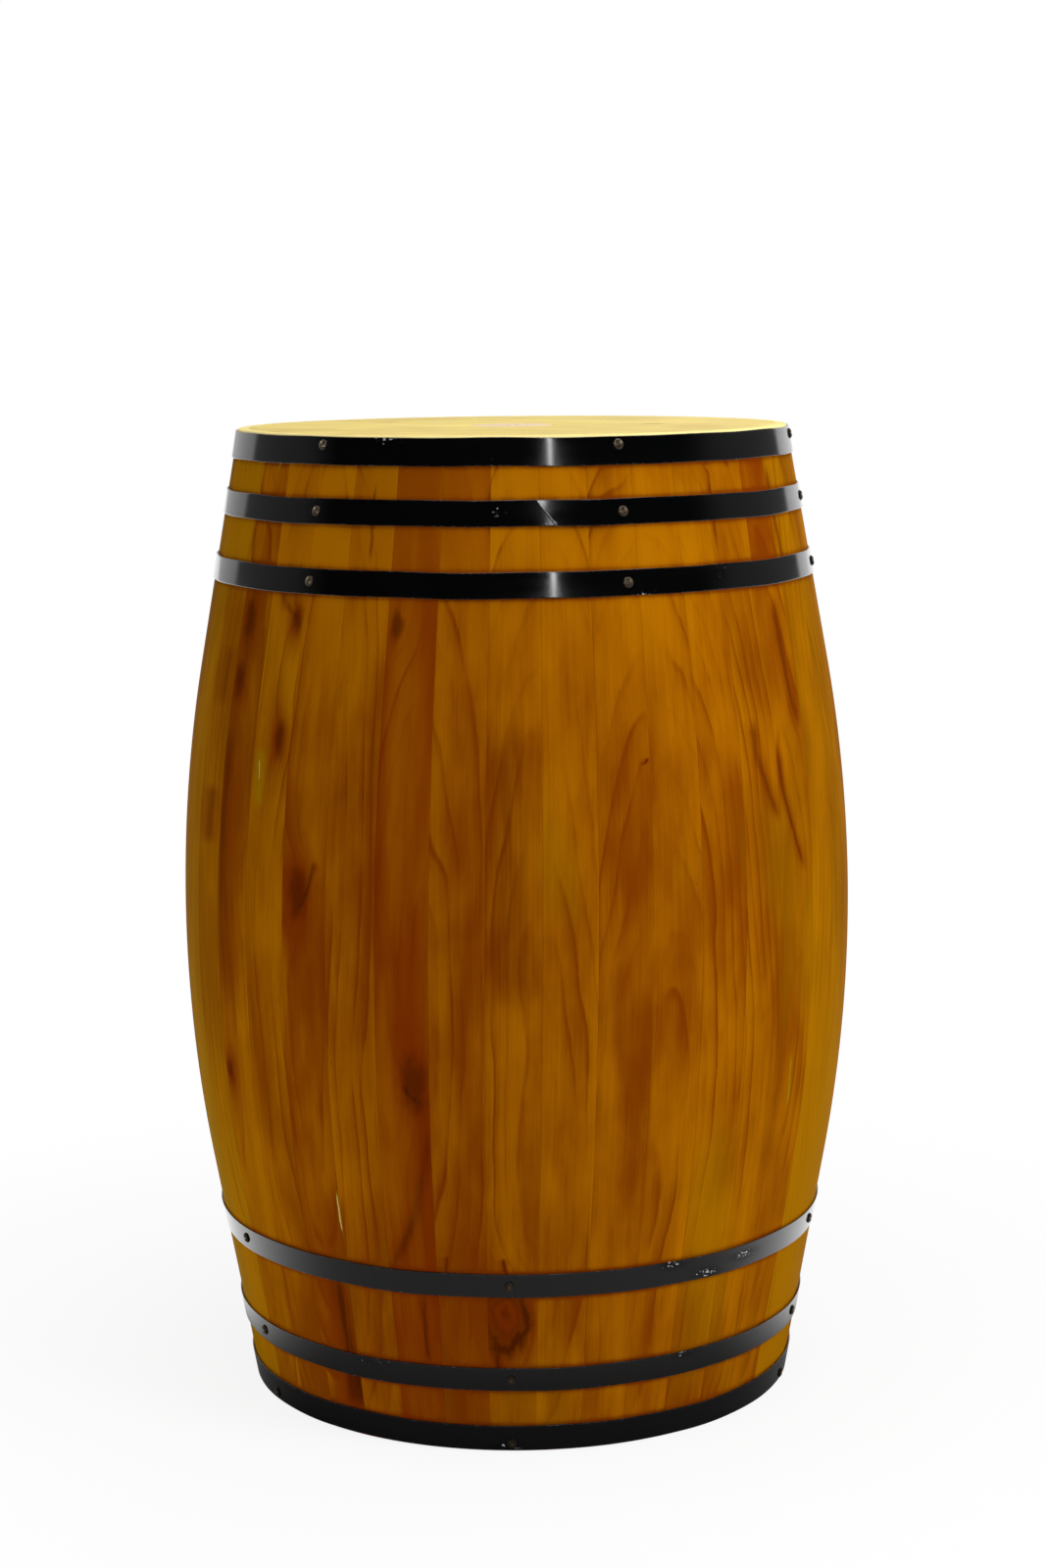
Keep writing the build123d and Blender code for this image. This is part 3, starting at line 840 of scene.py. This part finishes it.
def larger(first, second):
    """The larger of two values."""
    return calc("MAXIMUM", first, second)


def span(x, y):
    """Distance from zero over two axes."""
    return calc("SQRT", x * x + y * y)


def bell(value):
    """1 where a value is 0, falling off as it drops below."""
    return calc("EXPONENT", value)


def join(x, y, z):
    """A vector from three values."""
    return step("ShaderNodeCombineXYZ", 0, {0: x, 1: y, 2: z})


def split(vector):
    """The three values of a vector."""
    return [Term(socket) for socket in add(vector.tree, "ShaderNodeSeparateXYZ", {0: vector}).outputs]


def scaled(place, scales, shift=0.0):
    """A place scaled along each axis, then moved by the same amount along all of them."""
    return step("ShaderNodeVectorMath", 0, {0: place, 1: scales, 2: (shift,) * 3}, operation="MULTIPLY_ADD")


def ramp(value, low, high, first=0.0, last=1.0):
    """Smooth step of a value from first at low to last at high."""
    return step("ShaderNodeMapRange", 0, {0: value, 1: low, 2: high, 3: first, 4: last},
                interpolation_type="SMOOTHSTEP")


def noise(place, detail=2.0, roughness=0.5):
    """Noise about 0.5 at a place that is already scaled."""
    return step("ShaderNodeTexNoise", 0, {"Vector": place, "Scale": 1.0, "Detail": detail,
                                          "Roughness": roughness})


def blend(share, first, second):
    """Mix of two values."""
    return step("ShaderNodeMix", 0, {0: share, 2: first, 3: second})


def mix(share, first, second):
    """Mix of two colours."""
    return step("ShaderNodeMix", 2, {0: share, 6: first, 7: second}, data_type="RGBA")


def new_group(name, inputs, results):
    """An empty node group, as its tree, its inputs by name and its output node."""
    tree = bpy.data.node_groups.new(name, "ShaderNodeTree")
    for way, sockets in (("INPUT", inputs), ("OUTPUT", results)):
        for key, kind in sockets.items():
            tree.interface.new_socket(name=key, in_out=way, socket_type=f"NodeSocket{kind}")
    return tree, outputs(add(tree, "NodeGroupInput")), add(tree, "NodeGroupOutput")


def use_group(tree, name, inputs):
    """A group placed in a tree, as its outputs by name. It is built when it is first used."""
    group = bpy.data.node_groups.get(name) or GROUPS[name](name)
    return outputs(add(tree, "ShaderNodeGroup", inputs, node_tree=group))


# Half widths between which a knot passes from a smudge to one with rings
KNOT_SIZES = (0.014, 0.019)


def knot_group(name):
    """A knot: distance from its heart over its size, longer along the grain and most of all below, and made
    uneven by noise. A small knot is a soft smudge. A large one is paler inside, with its own rings and a
    dark outline. Gives how dark it is, the stained wood about it, and how far it pushes the growth rings."""
    tree, given, result = new_group(name, {"Grain": "Vector", "Knot": "Vector", "Seed": "Float"},
                                    dict.fromkeys(("Dark", "Stain", "Push"), "Float"))
    across, along, _ = split(given["Grain"])
    knot_across, knot_along, size = split(given["Knot"])

    def by_size(small, large):
        """A value for small knots that passes into one for large ones."""
        return ramp(size, *KNOT_SIZES, small, large)

    x, y = across - knot_across, along - knot_along
    y = (y + abs(y) * 0.16) * by_size(0.5, 0.68)
    far = span(x, y)
    even = far / larger(size, TINY)
    square = even * even
    rough = noise(join(across * 120, along * 60, given["Seed"]), detail=4)
    shares = even + (rough - 0.5) * by_size(1.5, 0.6)
    ringed = by_size(0.0, 1.0)
    heart = by_size(0.66, 0.34) + calc("SINE", shares * 13.0) * (ringed * 0.20)
    off = (shares - 0.88) * 5.0
    low_right = (x - y) / larger(far, TINY)
    outline = bell(-(off * off)) * ringed * ramp(low_right, -1.2, 1.0, 0.40, 0.90)
    feed(result, {"Dark": larger(ramp(shares, 1.4, 0.3) * heart, outline),
                  "Stain": bell(square * by_size(-0.30, -0.80)),
                  "Push": bell(square * -0.22) * size * 1.1})
    return tree


def streak_group(name):
    """A streak or crack: nearness to a curve that leaves its start along the grain and swings across as the
    square of the share run, fading at both ends. Gives the streak's strength there, and that of the wider
    stain about it."""
    inputs = dict.fromkeys(("Grain", "Start", "End"), "Vector") | {"Wander": "Float"}
    tree, given, result = new_group(name, inputs, {"Streak": "Float", "Halo": "Float"})
    across, along, _ = split(given["Grain"])
    start_across, start_along, half = split(given["Start"])
    end_across, end_along, strength = split(given["End"])
    run = (along - start_along) / (end_along - start_along)
    swung = run * run * (end_across - start_across)
    off = (across + given["Wander"] - (start_across + swung)) / larger(half, TINY)
    square = off * off
    ends = ramp(run, 0.0, 0.2) * ramp(run, 1.0, 0.8) * strength
    feed(result, {"Streak": bell(-square) * ends, "Halo": bell(square * -0.12) * ends})
    return tree


RING_WIDTH = 0.0082
PLANK_MIDDLE = 0.45  # metres along the grain
PLANK_BOW = 0.20  # how fast the pith falls away from the face towards a plank's ends, per metre
# Noises in a plank: waves a metre across and along the grain, a shift that sets each apart, and detail
GRAIN_NOISES = {
    "bend": (7, 2.4, 0.0, 2.0),
    "sink": (12, 3.4, 4.0, 2.0),
    "waver": (45, 11, 9.0, 3.0),
    "wander": (60, 28, 8.0, 3.0),
    "fade": (24, 7, 5.0, 2.0),
    "fibre": (750, 11, 2.0, 3.0),
    "strand": (260, 13, 13.0, 3.0),
    "blotch": (46, 15, 12.0, 3.0),
    "cloud": (30, 3.6, 6.0, 3.0),
    "fleck": (330, 40, 3.0, 2.0),
}
# Noises over the whole cask: waves a metre along its axes, shift and detail
CASK_NOISES = {
    "haze": ((7.0, 7.0, 3.4), 2.0, 3.0),
    "bloom": ((17.0, 17.0, 7.0), 7.0, 3.0),
    "shade": ((7.0, 7.0, 3.4), 5.0, 2.0),
}
# How far each noise moves the darkness of the wood
DARK_SWINGS = {"cloud": 0.9, "haze": 0.9, "bloom": 0.9, "blotch": 0.52, "strand": 0.16, "fibre": 0.32}
RING_DARKER = 0.56
KNOT_DARKER = 0.40
ALL_PALER = 0.06


def sawn_wood_group(name):
    """Sawn wood: growth rings are shells about a pith line that runs on a slope and a bow under the face. The
    ring count is the distance from that line over the ring width, moved by slow noise and by knots. Each ring
    darkens slowly to its late wood and ends sharply, and shows less where the face only grazes it. Fibres,
    flecks and clouds are noise drawn out along the grain."""
    inputs = dict.fromkeys(("Place", *PLANK_KEYS), "Vector") | dict.fromkeys(SHADE_KEYS, "Color")
    tree, given, result = new_group(name, inputs, {"Color": "Color", "Roughness": "Float", "Height": "Float"})
    across, along, depth = split(given["Grain"])
    pith_across, pith_depth, pith_slope = split(given["Pith"])
    dark, red, seed = split(given["Tone"])
    noises = {key: noise(join(across * wide, along * long, seed + shift + depth * wide), detail)
              for key, (wide, long, shift, detail) in GRAIN_NOISES.items()}
    noises |= {key: noise(scaled(given["Place"], scales, shift), detail)
               for key, (scales, shift, detail) in CASK_NOISES.items()}

    def swing(key, reach):
        """A noise as a move about zero."""
        return (noises[key] - 0.5) * reach

    core, stain, push, crack, pale_crack = 0.0, 0.0, 0.0, 0.0, 0.0
    for key in KNOT_KEYS:
        knot = use_group(tree, "Knot", {"Grain": given["Grain"], "Knot": given[key], "Seed": seed})
        core = larger(core, knot["Dark"])
        stain = larger(stain, knot["Stain"])
        push = knot["Push"] + push
    wander = swing("wander", 0.009)
    for key in STREAK_KEYS:
        streak = use_group(tree, "Streak", {"Grain": given["Grain"], "Start": given[f"{key} Start"],
                                            "End": given[f"{key} End"], "Wander": wander})
        crack = larger(crack, streak["Streak"])
        pale_crack = larger(pale_crack, -streak["Streak"])
        stain = larger(stain, streak["Halo"])

    x = across - pith_across + swing("bend", 0.050)
    above = along - PLANK_MIDDLE
    y = depth + pith_depth + above * above * PLANK_BOW + pith_slope * above + swing("sink", 0.024)
    far = span(x, y)
    count = (far + push + swing("waver", 0.0055)) / RING_WIDTH
    part = calc("FRACT", count)
    strength = step("ShaderNodeTexWhiteNoise", "Value", {"W": calc("FLOOR", count) + seed},
                    noise_dimensions="1D")
    late = ramp(part, 0.66, 0.89, 0.0, 0.62) + ramp(part, 0.05, 0.89, 0.0, 0.38)
    late = late * ramp(part, 1.0, 0.84) * ramp(strength, 0.0, 1.0, 0.15, 1.0)
    late = late * ramp(noises["fade"], 0.36, 0.62, 0.16, 1.0)
    line = late * ramp(abs(x) / larger(far, NEAR), 0.0, 0.40, 0.15, 1.0)

    share = dark
    for key, reach in DARK_SWINGS.items():
        share = share + swing(key, reach)
    share = share + line * RING_DARKER + stain * KNOT_DARKER - ALL_PALER
    green = larger(-red, 0.0) * ramp(dark, 0.1, 0.8, 0.9, 0.4)
    gold = ramp(noises["shade"] + swing("cloud", 0.35), 0.52, 0.74, 0.0, 0.35)
    reddened = ramp(noises["cloud"], 0.28, 0.60, 0.55, 1.0) * larger(red, stain * 0.8)
    broken = ramp(noises["strand"], 0.36, 0.56, 0.55, 1.0)
    crack = crack * broken
    fleck = ramp(noises["fleck"], 0.72, 0.80)
    bare = larger(ramp(pale_crack * broken, 0.15, 1.0), ramp(dark, -0.5, -1.5))
    body = mix(ramp(share, 0.0, 1.0), given["Pale"], given["Deep"])
    fringe = calc("MINIMUM", pale_crack * 6.0, 1.0)
    for cover, key in ((larger(green, gold), "Olive"), (reddened, "Red"), (core, "Dark"),
                       (larger(crack, fleck * 0.30), "Dark"), (fringe, "Olive"), (bare, "Bare")):
        body = mix(cover, body, given[key])
    feed(result, {"Color": body, "Roughness": line * 0.08 + 0.40 + swing("fibre", 0.16),
                  "Height": swing("fibre", 0.9) + line * -0.30 + crack * -0.4 + swing("cloud", 0.6)})
    return tree


GROUPS = {"Knot": knot_group, "Streak": streak_group, "Sawn wood": sawn_wood_group}


def new_material(name):
    """A new material with only a Principled surface, as its tree and that surface."""
    material = bpy.data.materials.new(name)
    material.use_nodes = True
    tree = material.node_tree
    tree.nodes.clear()
    surface = add(tree, "ShaderNodeBsdfPrincipled")
    add(tree, "ShaderNodeOutputMaterial", {0: Term(surface.outputs[0])})
    return material, tree, surface


def relief(surface, height, strength, distance):
    """Bump on a surface from a height."""
    bump = step("ShaderNodeBump", 0, {"Height": height, "Strength": strength, "Distance": distance})
    feed(surface, {"Normal": bump})


def attribute(tree, name):
    """A piece's vector attribute."""
    return outputs(add(tree, "ShaderNodeAttribute", attribute_name=name))["Vector"]


def object_place(tree):
    """Place in a piece's own coordinates."""
    return outputs(add(tree, "ShaderNodeTexCoord"))["Object"]


def plain_shades(pale, deep, knot):
    """Shades of a wood that is neither reddened nor stained."""
    return pale, deep, deep, deep, knot, pale


def wood_material(name, shades, gloss, on_object=False):
    """Satin varnished sawn wood, on a piece's plank attributes or on its own coordinates."""
    material, tree, surface = new_material(name)
    inputs = {"Place": object_place(tree)}
    if on_object:
        inputs |= {"Grain": inputs["Place"], "Pith": (0.03, 0.03, 0.01), "Tone": (0.4, 0.0, 3.0)}
    else:
        inputs |= {key: attribute(tree, key.lower().replace(" ", "_")) for key in PLANK_KEYS}
    inputs |= {key: (*shade, 1) for key, shade in zip(SHADE_KEYS, shades)}
    wood = use_group(tree, "Sawn wood", inputs)
    feed(surface, {"Base Color": wood["Color"], "Roughness": wood["Roughness"], "Specular IOR Level": gloss})
    relief(surface, wood["Height"], 0.35, 0.0004)
    return material


def hoop_material(colours):
    """Gloss black paint over steel: worn through along the edges, bare pale steel at the lap's cut end, which
    also serves as a painted glint where that edge catches light, and scratched where the strap was knocked."""
    material, tree, surface = new_material("Gloss black hoop paint")
    along, across, worn = split(attribute(tree, "strap"))
    grit = noise(join(along * 900, across * 9, 0.0), detail=3)
    scratch = noise(join(along * 260, across * 5.0 + along * 90, 3.0), detail=4, roughness=0.7)
    smear = noise(join(along * 11, across * 0.8, 7.0), detail=3)
    hammer = noise(join(along * 60, across * 0.8, 1.0), detail=2)
    rub = ramp(abs(across), 0.90, 1.0) * ramp(grit, 0.56, 0.72)
    # Bare steel at the lap's cut end, partly a painted glint of the light its edge catches
    cut_wear_and_glint = ramp(along, 0.0020, 0.0008) * ramp(grit, 0.42, 0.68, 0.03, 0.55)
    chip = ramp(scratch + worn * 0.21, 0.735, 0.765)
    bare = calc("MINIMUM", rub * 0.35 + cut_wear_and_glint + chip, 1.0)
    feed(surface, {"Base Color": mix(bare, (*colours.paint, 1), (*colours.bare_steel, 1)),
                   "Roughness": ramp(smear, 0.3, 0.75, 0.09, 0.20) + bare * 0.3, "Specular IOR Level": 0.45,
                   "Coat Weight": ramp(worn, 0.0, 0.7, 1.0, 0.35), "Coat Roughness": 0.09})
    relief(surface, hammer - bare, 0.12, 0.0004)
    return material


def nail_material(colours):
    """Tarnished bronze: bright on the raised petals, dark in the hollows and round the rim."""
    material, tree, surface = new_material("Tarnished nail bronze")
    rise, petal, own = split(attribute(tree, "rose"))
    grime = noise(scaled(object_place(tree), (700.0,) * 3), detail=3)
    bright = petal * 0.55 + rise * 0.70 + own * 0.20 + (grime - 0.72)
    shade = mix(ramp(bright, 0.0, 0.9), (*colours.nail_recess, 1), (*colours.bronze, 1))
    feed(surface, {"Base Color": shade, "Roughness": ramp(bright, 0.0, 0.9, 0.46, 0.20), "Metallic": 0.92})
    relief(surface, grime, 0.2, 0.0003)
    return material


# Stage

FLOOR_REACH = 40.0
SHADOW_REACH = 1.15  # where the floor has faded to the background
MIDDLE = (0, 0, HEIGHT / 2)
# Each lamp's power setting, place, target, width, height, and whether it shows in reflections
LAMPS = {
    "strip_lamp": ("strip", (0.78, -3.1, 1.85), (0, 0, 0.7), 0.08, 1.3, True),
    "right_lamp": ("key", (2.3, -1.5, 1.7), MIDDLE, 1.4, 1.6, False),
    "left_lamp": ("fill", (-2.4, -0.7, 0.3), (0, 0, 0.2), 1.5, 0.5, False),
    "low_lamp": ("low", (-0.85, -0.38, 0.1), (-0.29, -0.1, 0.25), 0.6, 0.15, False),
    "top_lamp": ("top", (0.2, -0.3, 2.6), MIDDLE, 1.8, 1.8, True),
}
# The white seen in reflections behind the cask: where it starts and is full, from 0 at the sides to 1
# straight behind, and its strength from 0
LEFT_WHITE = (0.63, 0.68, 0.0, 0.36)
RIGHT_WHITE = (0.73, 0.78, 0.0, 0.69)


def floor_material(settings):
    """Pale floor that takes the shadow near the cask and fades to the white background away from it. In
    reflections it is bright behind the cask and dark in front, and close to the cask it turns near black as a
    painted shadow."""
    material, tree, surface = new_material("Pale floor")
    feed(surface, {"Base Color": (*settings.floor, 1), "Roughness": 0.9, "Specular IOR Level": 0.0})
    place = object_place(tree)
    far = step("ShaderNodeVectorMath", "Value", {0: place}, operation="LENGTH")
    _, back, _ = split(place)
    # In reflections, the floor close to the cask is made dark: a painted shadow
    behind = ramp(far, 0.28, 0.40, 0.08, 1.0) * ramp(back / larger(far, NEAR), -0.65, 0.3)
    path = outputs(add(tree, "ShaderNodeLightPath"))
    share = (path["Is Camera Ray"] * ramp(far, 0.25, SHADOW_REACH, 0.87, 1.0)
             + path["Is Glossy Ray"] * larger(behind, ramp(far, 0.27, 0.42, 0.9, 0.75)))
    level = larger(path["Is Camera Ray"], behind)
    white = step("ShaderNodeEmission", 0, {"Color": WHITE, "Strength": level})
    both = step("ShaderNodeMixShader", 0, {0: share, 1: Term(surface.outputs[0]), 2: white})
    feed(next(node for node in tree.nodes if node.type == "OUTPUT_MATERIAL"), {0: both})
    return material


def light_world(settings):
    """White for the camera, and an even light for the rest. Reflections see a dimmer white behind the cask,
    brighter on the right than on the left, and dark in front of it."""
    world = bpy.data.worlds.new("Studio")
    world.use_nodes = True
    tree = world.node_tree
    tree.nodes.clear()
    path = outputs(add(tree, "ShaderNodeLightPath"))
    x, y, _ = split(outputs(add(tree, "ShaderNodeTexCoord"))["Generated"])
    behind = y / larger(span(x, y), NEAR)
    bright = blend(ramp(x, -0.1, 0.1), ramp(behind, *LEFT_WHITE), ramp(behind, *RIGHT_WHITE))
    mirrored = ramp(behind, -0.3, 0.1, 0.004, 0.10) + bright
    seen = larger(path["Is Camera Ray"], path["Is Transmission Ray"])
    strength = blend(seen, blend(path["Is Glossy Ray"], settings.sky, mirrored), 1.0)
    sky = step("ShaderNodeBackground", 0, {"Color": WHITE, "Strength": strength})
    add(tree, "ShaderNodeOutputWorld", {0: sky})
    bpy.context.scene.world = world


def add_lamp(name, place, target, width, height, power, in_gloss):
    """A soft rectangular lamp at a place, turned to a target."""
    lamp = bpy.data.lights.new(name, "AREA")
    lamp.shape = "RECTANGLE"
    lamp.size, lamp.size_y, lamp.energy = width, height, power
    made = new_object(name, lamp)
    made.location = place
    away = made.location - Vector(target)
    made.rotation_euler = away.to_track_quat("Z", "Y").to_euler()
    made.visible_glossy = in_gloss


class CASK_OT_stage(bpy.types.Operator):
    """Sets the floor, lamps, background and camera"""
    bl_idname = "cask.stage"
    bl_label = "Stage"

    def execute(self, context):
        scene = context.scene
        settings = scene.cask_stage
        scene.view_settings.view_transform = "Standard"

        corners = np.array([(-1, -1, 0), (1, -1, 0), (1, 1, 0), (-1, 1, 0)]) * FLOOR_REACH
        mesh = bpy.data.meshes.new("floor")
        mesh.from_pydata(corners, [], [(0, 1, 2, 3)])
        mesh.materials.append(floor_material(settings))
        floor = new_object("floor", mesh)

        light_world(settings)
        for name, (power, place, target, width, height, in_gloss) in LAMPS.items():
            add_lamp(name, place, target, width, height, getattr(settings, power), in_gloss)

        camera = bpy.data.cameras.new("camera")
        camera.lens = settings.camera_lens
        made = new_object("camera", camera)
        turn = (Matrix.Rotation(-settings.camera_yaw, 4, "Z")
                @ Matrix.Rotation(math.pi / 2 - settings.camera_pitch, 4, "X")
                @ Matrix.Rotation(settings.camera_roll, 4, "Z"))
        made.matrix_world = Matrix.Translation(settings.camera_place) @ turn
        scene.camera = made
        return {"FINISHED"}


# Panel and registration

OPERATORS = (CASK_OT_staves, CASK_OT_hoops, CASK_OT_nails, CASK_OT_heads, CASK_OT_bung, CASK_OT_tongues,
             CASK_OT_stage)
SETTINGS = {"cask_sizes": CaskSizes, "cask_straps": StrapSizes, "cask_colours": CaskColours,
            "cask_stage": StageSettings}


class CASK_PT_panel(bpy.types.Panel):
    """Lists the cask's pieces and settings"""
    bl_idname = "CASK_PT_panel"
    bl_label = "Wooden Cask"
    bl_space_type = "VIEW_3D"
    bl_region_type = "UI"
    bl_category = "Cask"

    def draw(self, context):
        for operator in OPERATORS:
            self.layout.operator(operator.bl_idname)
        for key in SETTINGS:
            settings = getattr(context.scene, key)
            box = self.layout.box()
            box.label(text=type(settings).__name__)
            for name in type(settings).__annotations__:
                box.prop(settings, name)


def register():
    """Registers the settings, operators and panel."""
    for kind in (*SETTINGS.values(), *OPERATORS, CASK_PT_panel):
        bpy.utils.register_class(kind)
    for key, kind in SETTINGS.items():
        setattr(bpy.types.Scene, key, PointerProperty(type=kind))


def unregister():
    """Takes out what register put in."""
    for key in SETTINGS:
        delattr(bpy.types.Scene, key)
    for kind in reversed((*SETTINGS.values(), *OPERATORS, CASK_PT_panel)):
        bpy.utils.unregister_class(kind)


def main():
    """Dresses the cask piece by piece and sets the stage."""
    register()
    bpy.ops.cask.staves()
    bpy.ops.cask.hoops()
    bpy.ops.cask.nails()
    bpy.ops.cask.heads()
    bpy.ops.cask.bung()
    bpy.ops.cask.tongues()
    bpy.ops.cask.stage()


if __name__ == "__main__":
    main()
